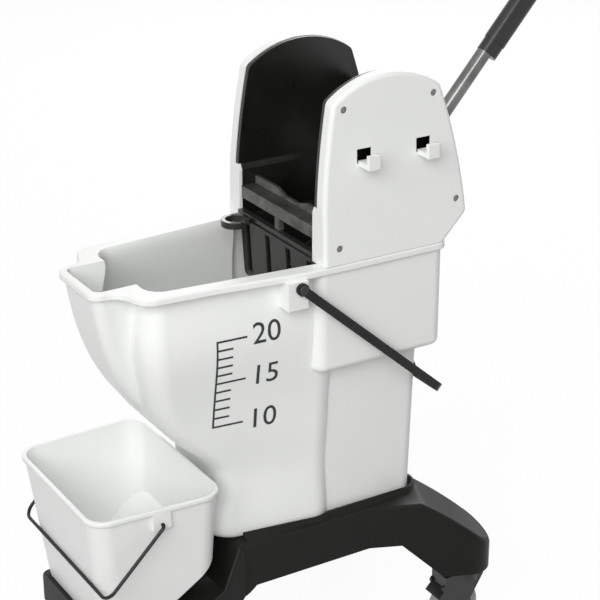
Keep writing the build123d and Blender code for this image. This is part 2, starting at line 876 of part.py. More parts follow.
# Wire bail of the pail, fallen forward until its cross-bar leans on the front wall
wire_fall = radians(pail_wire_angle)
draft = tan(radians(pail_front_draft))
wall_reach = pail_ear_y - pail_front_y - pail_rim - pail_ear_drop * draft
lean = (pail_wire_radius + air) / cos(atan(draft))
wire_length = (wall_reach + lean) / (cos(wire_fall) + draft * sin(wire_fall))
wire_plane = Plane(
    origin=(0, pail_ear_y, ear_z), x_dir=(1, 0, 0), z_dir=(0, sin(wire_fall), -cos(wire_fall))
)
wire_tip = ear_face - pail_ear_hole + air

with BuildPart() as pail_bail:
    with BuildLine(wire_plane) as wire:
        FilletPolyline(
            (wire_tip, 0),
            (wire_x, 0),
            (wire_x, wire_length),
            (-wire_x, wire_length),
            (-wire_x, 0),
            (-wire_tip, 0),
            radius=[pail_wire_eye_bend, pail_wire_bend, pail_wire_bend, pail_wire_eye_bend],
        )
    with BuildSketch(Plane(wire.line @ 0, z_dir=wire.line % 0)):
        Circle(pail_wire_radius)
    sweep()
pieces["pail_bail"] = pail_bail.part

# Wringer basket: a slotted trough with end walls and flanges that hang it on the rim
seat_top_z = rim_z + seat_thickness
trough_mid = basket_wall / 2
flange_length = seat_flange_rear_y - seat_flange_front_y
flange_middle_y = (seat_flange_rear_y + seat_flange_front_y) / 2
foot_screw_places = [(side * foot_screw_x, y) for side in (1, -1) for y in foot_screw_ys]

with BuildPart() as wringer_basket:
    with BuildSketch(Plane.YZ):
        with BuildLine():
            FilletPolyline(
                (basket_front_y + trough_mid, rail_bottom_z),
                (basket_front_low_y, basket_low_z),
                (basket_rear_y, basket_rear_z),
                (basket_rear_y, apron_z),
                (apron_rear_y, apron_z),
                radius=basket_bend,
            )
        trace(line_width=basket_wall)
    extrude(amount=cheek_low_inner, both=True)
    for side in (1, -1):
        with BuildSketch(Plane.YZ.offset(side * cheek_low_inner)):
            end_wall = [
                (basket_front_y, rim_z),
                (basket_front_low_y - trough_mid, basket_low_z - trough_mid),
                (basket_rear_y + trough_mid, basket_rear_z - trough_mid),
                (basket_rear_y + trough_mid, rim_z),
            ]
            add(rounded_outline(end_wall, [1, basket_bend, basket_bend, 1]))
        extrude(amount=side * basket_end_wall)
        with BuildSketch(Plane.XY.offset(rim_z)):
            with Locations((side * (cheek_low_inner + seat_outer) / 2, flange_middle_y)):
                Rectangle(seat_outer - cheek_low_inner, flange_length)
        extrude(amount=seat_thickness)
    # Grooved rail along the front, with the open ring that holds a mop stick
    with BuildSketch(Plane.YZ):
        with Locations((rail_front_y, rail_bottom_z)):
            Rectangle(rail_depth, rail_top_z - rail_bottom_z, align=(Align.MIN, Align.MIN))
        with Locations((rail_front_y, (rail_bottom_z + rail_top_z) / 2)):
            Rectangle(2 * rail_groove, rail_groove, mode=Mode.SUBTRACT)
    extrude(amount=cheek_low_inner, both=True)
    with BuildSketch(Plane.XY.offset(hook_ring_top_z - hook_ring_height)):
        with Locations((hook_ring_x, hook_ring_y)):
            Circle(hook_ring_inner + hook_ring_wall)
        with BuildLine():
            root = [(hook_root_left, hook_ring_y), (hook_root_right, hook_ring_y)]
            Polyline(*root, (hook_root_right, rail_front_y), (hook_root_left, rail_front_y), close=True)
        make_face()
        with Locations((hook_ring_x, hook_ring_y)):
            Circle(hook_ring_inner, mode=Mode.SUBTRACT)
        with BuildLine():
            mouth = [(hook_ring_x, hook_ring_y)]
            for angle in (hook_ring_open_from, hook_ring_open_to):
                reach = 2 * (hook_ring_inner + hook_ring_wall)
                across = reach * cos(radians(angle))
                along = reach * sin(radians(angle))
                mouth.append((hook_ring_x + across, hook_ring_y + along))
            Polyline(*mouth, close=True)
        make_face(mode=Mode.SUBTRACT)
    extrude(amount=hook_ring_height)
    # Stop for the lever on the apron
    with BuildSketch(Plane.XY.offset(apron_z)):
        with Locations((0, axle_y - stop_lug_width / 2 - air - stop_rib_width / 2)):
            Rectangle(hub_half_width, stop_rib_width)
    extrude(amount=trough_mid + stop_rib_height)
    # Drain slots in the front wall and in the floor
    front_middle_z = (front_slot_top_z + front_slot_bottom_z) / 2
    floor_middle_y = (floor_slot_front_y + floor_slot_rear_y) / 2
    slot_origin = (0, floor_slot_front_y, front_middle_z)
    with BuildSketch(Plane(slot_origin, x_dir=(1, 0, 0), z_dir=(0, -1, 0))):
        with GridLocations(front_slot_pitch, 1, front_slot_count, 1):
            Rectangle(front_slot_width, front_slot_top_z - front_slot_bottom_z)
    extrude(amount=floor_slot_front_y, mode=Mode.SUBTRACT)
    with BuildSketch(Plane.XY.offset(basket_rear_z)):
        with Locations((0, floor_middle_y)):
            with GridLocations(slot_pitch, 1, slot_count, 1):
                SlotOverall(floor_slot_rear_y - floor_slot_front_y, slot_width, rotation=90)
    extrude(amount=-basket_low_z, mode=Mode.SUBTRACT)
    with BuildSketch(Plane.XY.offset(rim_z)):
        with Locations(*foot_screw_places):
            Circle(foot_screw_radius + snug)
    extrude(amount=seat_thickness, mode=Mode.SUBTRACT)
pieces["wringer_basket"] = wringer_basket.part


# Side walls of the wringer's head and the covers over them
def side_outline(margin):
    """Side view of the wringer's head, made smaller by a margin."""
    front_top = (cover_front_top_y, cover_front_top_z)
    rear_top = (cover_rear_top_y, cover_rear_top_z)
    rear = (cover_rear_y, cover_rear_z)
    bend = (cover_front_y, cover_front_bend_z)
    foot = (cover_front_y, cover_bottom_z)
    with BuildSketch() as outline:
        with BuildLine():
            Line(foot, bend)
            ThreePointArc(bend, (cover_front_mid_y, cover_front_mid_z), front_top)
            ThreePointArc(front_top, (cover_top_y, cover_top_z), rear_top)
            ThreePointArc(rear_top, (cover_rear_mid_y, cover_rear_mid_z), rear)
            Polyline(rear, (cover_rear_bottom_y, cover_bottom_z), foot)
        make_face()
        if margin:
            offset(amount=-margin, kind=Kind.INTERSECTION, mode=Mode.REPLACE)
        for point, radius in ((front_top, cover_corner), (rear_top, cover_corner), (rear, cover_tail_corner)):
            fillet(outline.vertices().sort_by_distance(point)[0], radius - margin)
    return outline.sketch


axle_end = cheek_post_end - air
jaw_half_width = cheek_low_inner - snug
chin_rear_y = cover_front_y + chin_depth
cover_back = cheek_rim + air
cover_lean = (cover_face - cover_top_face) / (cover_top_z - cover_bottom_z)


def leaning(x, z):
    """A width at the foot of the wringer's head, carried up to a height by the lean of its sides."""
    return x - cover_lean * (z - cover_bottom_z)


def leaning_slab(inner, outer, low_z, margin):
    """The head's side view as a slab that leans inwards, between two widths and above a height."""
    high_z = cover_top_z + margin + cover_wall
    with BuildPart() as slab:
        with BuildSketch(Plane((0, 2 * cover_rear_y, 0), x_dir=(1, 0, 0), z_dir=(0, -1, 0))):
            with BuildLine():
                Polyline(
                    (leaning(inner, low_z), low_z),
                    (leaning(outer, low_z), low_z),
                    (leaning(outer, high_z), high_z),
                    (leaning(inner, high_z), high_z),
                    close=True,
                )
            make_face()
        extrude(amount=4 * cover_rear_y)
        with BuildSketch(Plane.YZ):
            add(side_outline(margin))
        extrude(amount=2 * cover_face, mode=Mode.INTERSECT)
    return slab.part


jaw_seat_x = leaning(cheek_outer, jaw_screw_z + jaw_screw_head) - snug

with BuildPart() as right_cheek:
    add(leaning_slab(cheek_inner, cheek_rim, seat_top_z, cheek_margin))
    pocket_z = seat_top_z + foot_thickness
    add(leaning_slab(cheek_outer, cover_face, pocket_z, cheek_margin + cheek_rim_wall), mode=Mode.SUBTRACT)
    # Thicker lower part with a sloping ledge
    with BuildSketch(Plane((0, cheek_block_rear_y, 0), x_dir=(1, 0, 0), z_dir=(0, -1, 0))):
        with BuildLine():
            ledge_z = cheek_step_z + cheek_step_slope
            Polyline(
                (cheek_low_inner, seat_top_z),
                (cheek_inner, seat_top_z),
                (leaning(cheek_outer, ledge_z), ledge_z),
                (leaning(cheek_inner, ledge_z), ledge_z),
                (cheek_low_inner, cheek_step_z),
                close=True,
            )
        make_face()
    extrude(amount=cheek_block_rear_y - chin_rear_y - air)
    # Room for the cover's chin
    with BuildSketch(Plane.YZ.offset(cheek_low_inner)):
        with Locations((cover_front_y, seat_top_z)):
            Rectangle(chin_depth + air, ledge_z + air - seat_top_z, align=(Align.MIN, Align.MIN))
    extrude(amount=cover_face - cheek_low_inner, mode=Mode.SUBTRACT)
    with BuildSketch(Plane.XY.offset(seat_top_z)):
        with Locations(((cheek_inner + seat_outer) / 2, flange_middle_y)):
            Rectangle(seat_outer - cheek_inner, flange_length)
    extrude(amount=foot_thickness)
    with BuildSketch(Plane.YZ.offset(cheek_low_inner)):
        with Locations((axle_y, axle_z)):
            Circle(axle_boss_radius)
    extrude(amount=cheek_post_end - cheek_low_inner)
    for y, z in cover_screw_places:
        post_x = leaning(cheek_outer, z) - cheek_margin
        with BuildSketch(Plane.YZ.offset(post_x)):
            with Locations((y, z)):
                Circle(cheek_post_radius)
        extrude(amount=cheek_post_end - post_x)
    # Flat seats for the jaw's screws
    with BuildSketch(Plane.YZ.offset(jaw_seat_x)):
        with Locations((jaw_screw_y, jaw_screw_z)):
            Circle(jaw_screw_head + air)
    extrude(amount=jaw_screw_head, mode=Mode.SUBTRACT)
    # Holes for the axle and the screws
    with BuildSketch(Plane.YZ.offset(cheek_low_inner)):
        with Locations((axle_y, axle_z)):
            Circle(axle_radius + snug)
    extrude(amount=cheek_post_end - cheek_low_inner, mode=Mode.SUBTRACT)
    with BuildSketch(Plane.YZ.offset(cheek_post_end)):
        with Locations(*cover_screw_places):
            Circle(cover_screw_radius + snug)
    extrude(amount=cover_screw_tip - cheek_post_end, mode=Mode.SUBTRACT)
    with BuildSketch(Plane.YZ.offset(cheek_low_inner)):
        with Locations((jaw_screw_y, jaw_screw_z)):
            Circle(jaw_screw_radius + snug)
    extrude(amount=cheek_outer - cheek_low_inner, mode=Mode.SUBTRACT)
    with BuildSketch(Plane.XY.offset(seat_top_z)):
        with Locations(*foot_screw_places[:2]):
            Circle(foot_screw_radius + snug)
    extrude(amount=foot_thickness, mode=Mode.SUBTRACT)
pieces["right_cheek"] = right_cheek.part
pieces["left_cheek"] = mirror_image(right_cheek.part)

screw_places = cover_screw_places + [(axle_y, axle_z)]
window_bottom_z = window_z - window_height / 2
with BuildPart() as right_cover:
    add(leaning_slab(cover_back, cover_face, cover_bottom_z, 0))
    face_edges = right_cover.faces().sort_by(Axis.X)[-1].edges().sort_by(Axis.Z)
    fillet(face_edges[1:], cover_round)
    # Hollow behind the face, open at the bottom
    with BuildPart(mode=Mode.PRIVATE) as hollow:
        add(leaning_slab(cheek_inner, cover_face - cover_wall, cover_bottom_z, cover_wall))
        hollow_width = cover_rear_bottom_y - cover_front_y - 2 * cover_wall
        with BuildSketch(Plane.XY.offset(cover_bottom_z)):
            with Locations((cheek_inner, cover_front_y + cover_wall)):
                Rectangle(cover_face - cover_wall - cheek_inner, hollow_width, align=(Align.MIN, Align.MIN))
        extrude(amount=2 * cover_wall)
    add(hollow.part, mode=Mode.SUBTRACT)
    # Chin: the front wall runs further in below the ledge
    with BuildSketch(Plane((0, chin_rear_y, 0), x_dir=(1, 0, 0), z_dir=(0, -1, 0))):
        with BuildLine():
            chin_outer = cover_back + cover_wall
            Polyline(
                (cheek_low_inner, cover_bottom_z),
                (chin_outer, cover_bottom_z),
                (leaning(chin_outer, ledge_z), ledge_z),
                (leaning(cheek_inner, ledge_z), ledge_z),
                (cheek_low_inner, cheek_step_z),
                close=True,
            )
        make_face()
    extrude(amount=chin_depth)
    # Posts for the screws, with the heads sunk in the face
    for y, z in screw_places:
        with BuildSketch(Plane.YZ.offset(cheek_post_end + air / 2)):
            with Locations((y, z)):
                Circle(cover_post_radius)
        extrude(amount=leaning(cover_face, z) - cover_wall / 2 - cheek_post_end)
        with BuildSketch(Plane.YZ.offset(leaning(cover_face, z) - cover_sink)):
            with Locations((y, z)):
                Circle(cover_sink_radius)
        extrude(amount=2 * cover_sink, mode=Mode.SUBTRACT)
    with BuildSketch(Plane.YZ.offset(cover_face)):
        with Locations(*screw_places):
            Circle(cover_screw_radius + snug)
    extrude(amount=cheek_post_end - cover_face, mode=Mode.SUBTRACT)
    # Windows with a coat hook at the lower edge of each
    with BuildSketch(Plane.YZ.offset(leaning(cover_face, window_z) - 2 * cover_wall)):
        with Locations(*[(y, window_z) for y in window_ys]):
            Rectangle(window_width, window_height)
    extrude(amount=cover_face, mode=Mode.SUBTRACT)
    hook_root = leaning(cover_face, window_bottom_z) - cover_wall
    for y in window_ys:
        hook_plane = Plane((hook_root, y, window_bottom_z), x_dir=(1, 0, 0), z_dir=(0, -1, 0))
        with BuildSketch(hook_plane):
            with BuildLine():
                reach = cover_wall + hook_reach
                Polyline(
                    (0, -hook_thickness / 2),
                    (reach, -hook_thickness / 2),
                    (reach, hook_thickness / 2 + hook_tip),
                    (reach - hook_thickness, hook_thickness / 2 + hook_tip),
                    (reach - hook_thickness, hook_thickness / 2),
                    (0, hook_thickness / 2),
                    close=True,
                )
            make_face()
        extrude(amount=hook_width / 2, both=True)
pieces["right_cover"] = right_cover.part
pieces["left_cover"] = mirror_image(right_cover.part)

with BuildPart() as right_cover_screws:
    for y, z in screw_places:
        seat_x = leaning(cover_face, z) - cover_sink
        with BuildSketch(Plane.YZ.offset(seat_x)):
            with Locations((y, z)):
                Circle(cover_screw_head)
        extrude(amount=cover_screw_head_height)
        with BuildSketch(Plane.YZ.offset(seat_x)):
            with Locations((y, z)):
                Circle(cover_screw_radius)
        extrude(amount=cover_screw_tip - seat_x + air)
pieces["right_cover_screws"] = right_cover_screws.part
pieces["left_cover_screws"] = mirror_image(right_cover_screws.part)

with BuildPart() as foot_screws:
    with BuildSketch(Plane.XY.offset(seat_top_z + foot_thickness)):
        with Locations(*foot_screw_places):
            Circle(foot_screw_head)
    extrude(amount=foot_screw_head_height)
    with BuildSketch(Plane.XY.offset(seat_top_z + foot_thickness)):
        with Locations(*foot_screw_places):
            Circle(foot_screw_radius)
    extrude(amount=-foot_thickness - seat_thickness + air)
pieces["foot_screws"] = foot_screws.part

# Front jaw that the mop is pressed against
with BuildPart() as front_jaw:
    with BuildSketch(Plane.YZ):
        with BuildLine():
            Polyline(
                (jaw_front_y, jaw_bottom_z),
                (jaw_rear_y, jaw_bottom_z),
                (jaw_rear_y, jaw_lip_z),
                (jaw_rear_y - jaw_lip_width, jaw_lip_z),
                (jaw_rear_y - jaw_lip_width, jaw_deck_z),
                (jaw_front_y, jaw_deck_z),
                close=True,
            )
        make_face()
    extrude(amount=jaw_half_width, both=True)
    with BuildSketch(Plane((0, jaw_rear_y, jaw_lip_z), x_dir=(1, 0, 0), z_dir=(0, -1, 0))):
        notch = mirrored([(jaw_notch_top, 0), (jaw_notch_bottom, -jaw_notch_depth)])
        add(rounded_outline(notch[1:3] + [notch[3], notch[0]], [jaw_notch_round, jaw_notch_round]))
    extrude(amount=jaw_lip_width, mode=Mode.SUBTRACT)
    # Post down to the rail
    with BuildSketch(Plane.XY.offset(rail_top_z)):
        with Locations((0, jaw_front_y + jaw_post_depth / 2)):
            Rectangle(jaw_post_width, jaw_post_depth)
    extrude(amount=jaw_bottom_z - rail_top_z)
    for side in (1, -1):
        with BuildSketch(Plane.YZ.offset(side * jaw_half_width)):
            with Locations((jaw_screw_y, jaw_screw_z)):
                Circle(jaw_screw_radius + snug)
        extrude(amount=-side * jaw_screw_depth, mode=Mode.SUBTRACT)
pieces["front_jaw"] = front_jaw.part

with BuildPart() as jaw_screws:
    for side in (1, -1):
        with BuildSketch(Plane.YZ.offset(side * jaw_seat_x)):
            with Locations((jaw_screw_y, jaw_screw_z)):
                Circle(jaw_screw_head)
        extrude(amount=side * jaw_screw_head_height)
        with BuildSketch(Plane.YZ.offset(side * jaw_seat_x)):
            with Locations((jaw_screw_y, jaw_screw_z)):
                Circle(jaw_screw_radius)
        extrude(amount=-side * (jaw_seat_x - jaw_half_width + jaw_screw_depth - air))
pieces["jaw_screws"] = jaw_screws.part

# Lever and press plate, which turn together on a fixed axle
axle = (axle_y, axle_z)
lean = radians(lever_lean)
fall = radians(plate_lean)
lever_plane = Plane((0, *axle), x_dir=(1, 0, 0), z_dir=(0, sin(lean), cos(lean)))
plate_plane = Plane((0, *axle), x_dir=(1, 0, 0), z_dir=(0, -cos(fall), -sin(fall)))
lever_axis = Axis(lever_plane.origin, lever_plane.z_dir)
plate_face = plate_thickness / 2
pad_back = plate_face + pad_thickness


def along_lever(station, behind):
    """Side-view place at a station along the lever and a distance behind its middle."""
    y = axle_y + station * sin(lean) + behind * cos(lean)
    z = axle_z + station * cos(lean) - behind * sin(lean)
    return (y, z)


socket_bolt_places = [along_lever(station, 0) for station in socket_bolt_stations]
plate_bolt_places = [(0, station) for station in plate_bolt_stations]

with BuildPart() as lever_axle:
    with BuildSketch(Plane.YZ):
        with Locations(axle):
            Circle(axle_radius)
    extrude(amount=axle_end, both=True)
    for side in (1, -1):
        with BuildSketch(Plane.YZ.offset(side * axle_end)):
            with Locations(axle):
                Circle(cover_screw_radius + snug)
        extrude(amount=-side * axle_tap_depth, mode=Mode.SUBTRACT)
pieces["lever_axle"] = lever_axle.part

with BuildPart() as lever_hub:
    with BuildSketch(Plane.YZ):
        with Locations(axle):
            Circle(hub_outer_radius)
    extrude(amount=hub_half_width, both=True)
    with BuildSketch(lever_plane):
        Circle(socket_radius)
    extrude(amount=socket_length)
    fillet(lever_hub.edges().group_by(lever_axis)[-1], socket_round)
    # Flats for the bolt heads
    with BuildSketch(lever_plane.offset(socket_bolt_stations[0] - socket_flat_width / 2)):
        Rectangle(2 * socket_radius, socket_flat_width)
    extrude(amount=socket_bolt_stations[1] - socket_bolt_stations[0] + socket_flat_width)
    # Pad behind the plate and lug that meets the stop
    with BuildSketch(plate_plane.offset(-plate_face)):
        with Locations((0, (pad_start + pad_length) / 2)):
            Rectangle(2 * pad_half_width, pad_length - pad_start)
    extrude(amount=-pad_thickness)
    with BuildSketch(Plane.YZ):
        with Locations(axle):
            Rectangle(stop_lug_width, stop_lug_reach, align=(Align.CENTER, Align.MAX))
    extrude(amount=hub_half_width / 2, both=True)
    # Holes for the tube, the axle and the bolts
    with BuildSketch(lever_plane.offset(tube_start)):
        Circle(tube_radius + snug)
    extrude(amount=socket_length, mode=Mode.SUBTRACT)
    with BuildSketch(Plane.YZ):
        with Locations(axle):
            Circle(axle_radius + running)
        with Locations(*socket_bolt_places):
            Circle(socket_bolt_radius + snug)
    extrude(amount=hub_half_width, both=True, mode=Mode.SUBTRACT)
    with BuildSketch(plate_plane.offset(-plate_face)):
        with Locations(*plate_bolt_places):
            Circle(plate_bolt_radius + snug)
    extrude(amount=-pad_thickness, mode=Mode.SUBTRACT)
pieces["lever_hub"] = lever_hub.part

grip_end = grip_start + grip_length
grip_back = grip_back_offset + grip_back_radius


def grip_section(inset):
    """Section of the grip: a round front on the tube and a second round behind it."""
    with BuildSketch() as section:
        back = Edge.make_circle(grip_back_radius - inset).moved(Location((0, grip_back_offset)))
        make_hull([Edge.make_circle(grip_front_radius - inset), back])
    return section.sketch


with BuildPart() as lever_tube:
    with BuildSketch(lever_plane.offset(tube_start)):
        Circle(tube_radius)
        Circle(tube_radius - tube_wall, mode=Mode.SUBTRACT)
    extrude(amount=grip_end - grip_end_wall - tube_start)
    with BuildSketch(Plane.YZ):
        with Locations(*socket_bolt_places):
            Circle(socket_bolt_radius + snug)
    extrude(amount=tube_radius, both=True, mode=Mode.SUBTRACT)
pieces["lever_tube"] = lever_tube.part

with BuildPart() as lever_grip:
    with BuildSketch(lever_plane.offset(grip_start + grip_collar_length)):
        add(grip_section(0))
    extrude(amount=grip_length - grip_collar_length)
    fillet(lever_grip.edges().group_by(lever_axis)[-1], grip_end_round)
    with BuildSketch(lever_plane.offset(grip_start)):
        add(grip_section(grip_step))
    extrude(amount=grip_collar_length)
    # Finger grooves at the back
    with BuildSketch(Plane.YZ):
        for groove in range(grip_groove_count):
            station = grip_start + grip_groove_start + groove * grip_groove_pitch
            with Locations(along_lever(station, grip_back - grip_groove_depth + grip_groove_radius)):
                Circle(grip_groove_radius)
    extrude(amount=grip_front_radius, both=True, mode=Mode.SUBTRACT)
    with BuildSketch(lever_plane.offset(grip_start)):
        Circle(tube_radius + snug)
    extrude(amount=grip_length - grip_end_wall, mode=Mode.SUBTRACT)
pieces["lever_grip"] = lever_grip.part

with BuildPart() as socket_bolts:
    with BuildSketch(Plane.YZ):
        with Locations(*socket_bolt_places):
            Circle(socket_bolt_radius)
    extrude(amount=socket_radius, both=True)
    for side in (1, -1):
        with BuildSketch(Plane.YZ.offset(side * socket_radius)):
            with Locations(*socket_bolt_places):
                RegularPolygon(socket_bolt_head, 6)
        extrude(amount=side * socket_bolt_head_height)
pieces["socket_bolts"] = socket_bolts.part

with BuildPart() as press_plate:
    with BuildSketch(plate_plane):
        sheet = mirrored([(plate_half_width, plate_start), (plate_half_width, plate_length)])
        add(rounded_outline(sheet[1:3] + [sheet[3], sheet[0]], [plate_corner, plate_corner]))
        Rectangle(2 * plate_notch_half_width, 2 * plate_notch_depth, mode=Mode.SUBTRACT)
    extrude(amount=plate_face, both=True)
    # Ribs on the pressing side
    with BuildSketch(plate_plane.offset(plate_face)):
        with Locations((0, (plate_rib_start + plate_rib_end) / 2)):
            with GridLocations(plate_rib_pitch, 1, plate_rib_count, 1):
                Rectangle(plate_rib_width, plate_rib_end - plate_rib_start)
    extrude(amount=plate_rib_height)
    # Knuckles on the axle
    for side in (1, -1):
        with BuildSketch(Plane.YZ.offset(side * knuckle_inner)):
            with Locations(axle):
                Circle(knuckle_radius)
        extrude(amount=side * (knuckle_outer - knuckle_inner))
    with BuildSketch(Plane.YZ):
        with Locations(axle):
            Circle(axle_radius + bush_wall + snug)
    extrude(amount=knuckle_outer, both=True, mode=Mode.SUBTRACT)
    with BuildSketch(plate_plane):
        with Locations(*plate_bolt_places):
            Circle(plate_bolt_radius + snug)
    extrude(amount=plate_face, both=True, mode=Mode.SUBTRACT)
pieces["press_plate"] = press_plate.part

with BuildPart() as right_bush:
    with BuildSketch(Plane.YZ.offset(knuckle_outer)):
        with Locations(axle):
            Circle(axle_radius + bush_wall)
            Circle(axle_radius + running, mode=Mode.SUBTRACT)
    extrude(amount=-bush_length)
pieces["right_bush"] = right_bush.part
pieces["left_bush"] = mirror_image(right_bush.part)

with BuildPart() as plate_bolts:
    with BuildSketch(plate_plane.offset(-pad_back)):
        with Locations(*plate_bolt_places):
            Circle(plate_bolt_radius)
    extrude(amount=pad_back + plate_face)
    with BuildSketch(plate_plane.offset(plate_face)):
        with Locations(*plate_bolt_places):
            RegularPolygon(plate_bolt_head, 6)
    extrude(amount=plate_bolt_head_height)
    with BuildSketch(plate_plane.offset(-pad_back)):
        with Locations(*plate_bolt_places):
            RegularPolygon(plate_bolt_head, 6)
    extrude(amount=-plate_bolt_head_height)
pieces["plate_bolts"] = plate_bolts.part

# The origin goes to the floor under the middle of the whole length
front_end = min(piece.bounding_box().min.Y for piece in pieces.values())
rear_end = max(piece.bounding_box().max.Y for piece in pieces.values())
to_middle = Location((0, -(front_end + rear_end) / 2, 0))

for name, piece in pieces.items():
    placed = piece.moved(to_middle)
    placed.label = name
    export_step(placed, f"parts/{name}.step")
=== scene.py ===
import math
import bmesh
import bpy
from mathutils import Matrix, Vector


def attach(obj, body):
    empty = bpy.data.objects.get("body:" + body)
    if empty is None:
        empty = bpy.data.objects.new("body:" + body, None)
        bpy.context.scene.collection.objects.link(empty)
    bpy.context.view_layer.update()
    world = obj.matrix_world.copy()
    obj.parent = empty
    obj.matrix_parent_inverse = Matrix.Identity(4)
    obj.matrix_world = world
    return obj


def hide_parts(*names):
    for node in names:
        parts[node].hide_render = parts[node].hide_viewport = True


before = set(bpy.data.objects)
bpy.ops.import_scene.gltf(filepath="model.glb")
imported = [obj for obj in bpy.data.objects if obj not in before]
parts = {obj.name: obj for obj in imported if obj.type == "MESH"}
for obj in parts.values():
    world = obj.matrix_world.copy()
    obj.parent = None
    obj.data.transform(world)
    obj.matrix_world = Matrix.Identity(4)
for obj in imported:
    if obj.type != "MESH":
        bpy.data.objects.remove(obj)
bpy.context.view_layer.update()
print("frame loaded:", len(parts), "CAD nodes")

# The stretch of a noise field in which nearly all of its values lie
noiseRange = (0.3, 0.7)


# Small helpers for the shader work
def startFinish(name):
    finish = bpy.data.materials.new(name)
    finish.use_nodes = True
    tree = finish.node_tree
    return finish, tree.nodes, tree.links, tree.nodes["Principled BSDF"]


def objectCoords(nodes, links, stretch=(1, 1, 1), turn=(0, 0, 0)):
    # turned first, then stretched
    coords = nodes.new("ShaderNodeTexCoord")
    turned = nodes.new("ShaderNodeMapping")
    turned.inputs["Rotation"].default_value = [math.radians(a) for a in turn]
    links.new(coords.outputs["Object"], turned.inputs["Vector"])
    stretched = nodes.new("ShaderNodeMapping")
    stretched.inputs["Scale"].default_value = stretch
    links.new(turned.outputs["Vector"], stretched.inputs["Vector"])
    return stretched.outputs["Vector"]


def noiseField(nodes, links, coords, scale, detail):
    noise = nodes.new("ShaderNodeTexNoise")
    noise.inputs["Scale"].default_value = scale
    noise.inputs["Detail"].default_value = detail
    links.new(coords, noise.inputs["Vector"])
    return noise.outputs["Fac"]


def cellField(nodes, links, coords, scale):
    cells = nodes.new("ShaderNodeTexVoronoi")
    cells.inputs["Scale"].default_value = scale
    links.new(coords, cells.inputs["Vector"])
    return cells.outputs["Distance"]


def spread(nodes, links, field, fromLow, fromHigh, toLow, toHigh):
    reach = nodes.new("ShaderNodeMapRange")
    reach.inputs["From Min"].default_value = fromLow
    reach.inputs["From Max"].default_value = fromHigh
    reach.inputs["To Min"].default_value = toLow
    reach.inputs["To Max"].default_value = toHigh
    links.new(field, reach.inputs["Value"])
    return reach.outputs["Result"]


def combine(nodes, links, operation, first, second):
    result = nodes.new("ShaderNodeMath")
    result.operation = operation
    links.new(first, result.inputs[0])
    links.new(second, result.inputs[1])
    return result.outputs[0]


def colourBlend(nodes, links, field, light):
    blend = nodes.new("ShaderNodeMix")
    blend.data_type = "RGBA"
    blend.inputs[7].default_value = (*light, 1)
    links.new(field, blend.inputs[0])
    return blend.inputs[6], blend.outputs[2]


def twoTones(nodes, links, field, dark, light):
    under, blended = colourBlend(nodes, links, field, light)
    under.default_value = (*dark, 1)
    return blended


def shadeOver(nodes, links, field, colour, over):
    under, blended = colourBlend(nodes, links, field, over)
    links.new(colour, under)
    return blended


def cloudTones(nodes, links, field, v):
    return twoTones(nodes, links, spread(nodes, links, field, *noiseRange, 0, 1), v["deep"], v["fair"])


def cloudGloss(nodes, links, field, v):
    return spread(nodes, links, field, *noiseRange, v["glossLow"], v["glossHigh"])


def rubMarks(nodes, links, v):
    # thin marks that run along the walls
    drawn = objectCoords(nodes, links, v["rubStretch"], v["rubTurn"])
    marks = noiseField(nodes, links, drawn, 1.0, v["rubDetail"])
    return spread(nodes, links, marks, v["rubStart"], v["rubFull"], 0, v["rubMost"])


def facingUp(nodes, links, start, full, most):
    facing = nodes.new("ShaderNodeNewGeometry")
    split = nodes.new("ShaderNodeSeparateXYZ")
    links.new(facing.outputs["Normal"], split.inputs["Vector"])
    return spread(nodes, links, split.outputs["Z"], start, full, 0, most)


def relief(nodes, links, field, depth, strength, under=None):
    bump = nodes.new("ShaderNodeBump")
    bump.inputs["Strength"].default_value = strength
    bump.inputs["Distance"].default_value = depth
    links.new(field, bump.inputs["Height"])
    if under:
        links.new(under, bump.inputs["Normal"])
    return bump.outputs["Normal"]


def softEdges(nodes, radius):
    # rounds the light off at sharp corners
    edge = nodes.new("ShaderNodeBevel")
    edge.inputs["Radius"].default_value = radius
    return edge.outputs["Normal"]


def dress(finish, *names):
    for name in names:
        slots = parts[name].data.materials
        slots.clear()
        slots.append(finish)


# White moulded polypropylene of the bucket, the pail and the covers
whiteShell = {
    "deep": (0.885, 0.898, 0.880),
    "fair": (0.925, 0.936, 0.920),
    "cloudScale": 5.5,
    "cloudDetail": 3.0,
    "rubbed": (0.80, 0.81, 0.79),
    "rubStretch": (55, 55, 7),
    "rubTurn": (11, 4, 0),
    "rubDetail": 4.0,
    "rubStart": 0.70,
    "rubFull": 0.82,
    "rubMost": 0.22,
    "edge": 0.0016,
    "peelScale": 85,
    "peelDepth": 0.00010,
    "peelStrength": 0.5,
    "grainScale": 1500,
    "grainDepth": 0.000018,
    "grainStrength": 0.6,
    "glossLow": 0.30,
    "glossHigh": 0.42,
    "ior": 1.49,
}


def makeWhiteShell(name):
    v = whiteShell
    finish, nodes, links, shader = startFinish(name)
    plain = objectCoords(nodes, links)
    cloud = noiseField(nodes, links, plain, v["cloudScale"], v["cloudDetail"])
    colour = cloudTones(nodes, links, cloud, v)
    rubs = rubMarks(nodes, links, v)
    links.new(shadeOver(nodes, links, rubs, colour, v["rubbed"]), shader.inputs["Base Color"])
    gloss = cloudGloss(nodes, links, cloud, v)
    links.new(combine(nodes, links, "ADD", gloss, rubs), shader.inputs["Roughness"])
    peel = noiseField(nodes, links, plain, v["peelScale"], 1.0)
    grain = noiseField(nodes, links, plain, v["grainScale"], 1.0)
    soft = relief(nodes, links, peel, v["peelDepth"], v["peelStrength"], softEdges(nodes, v["edge"]))
    grainy = relief(nodes, links, grain, v["grainDepth"], v["grainStrength"], soft)
    links.new(grainy, shader.inputs["Normal"])
    shader.inputs["IOR"].default_value = v["ior"]
    return finish


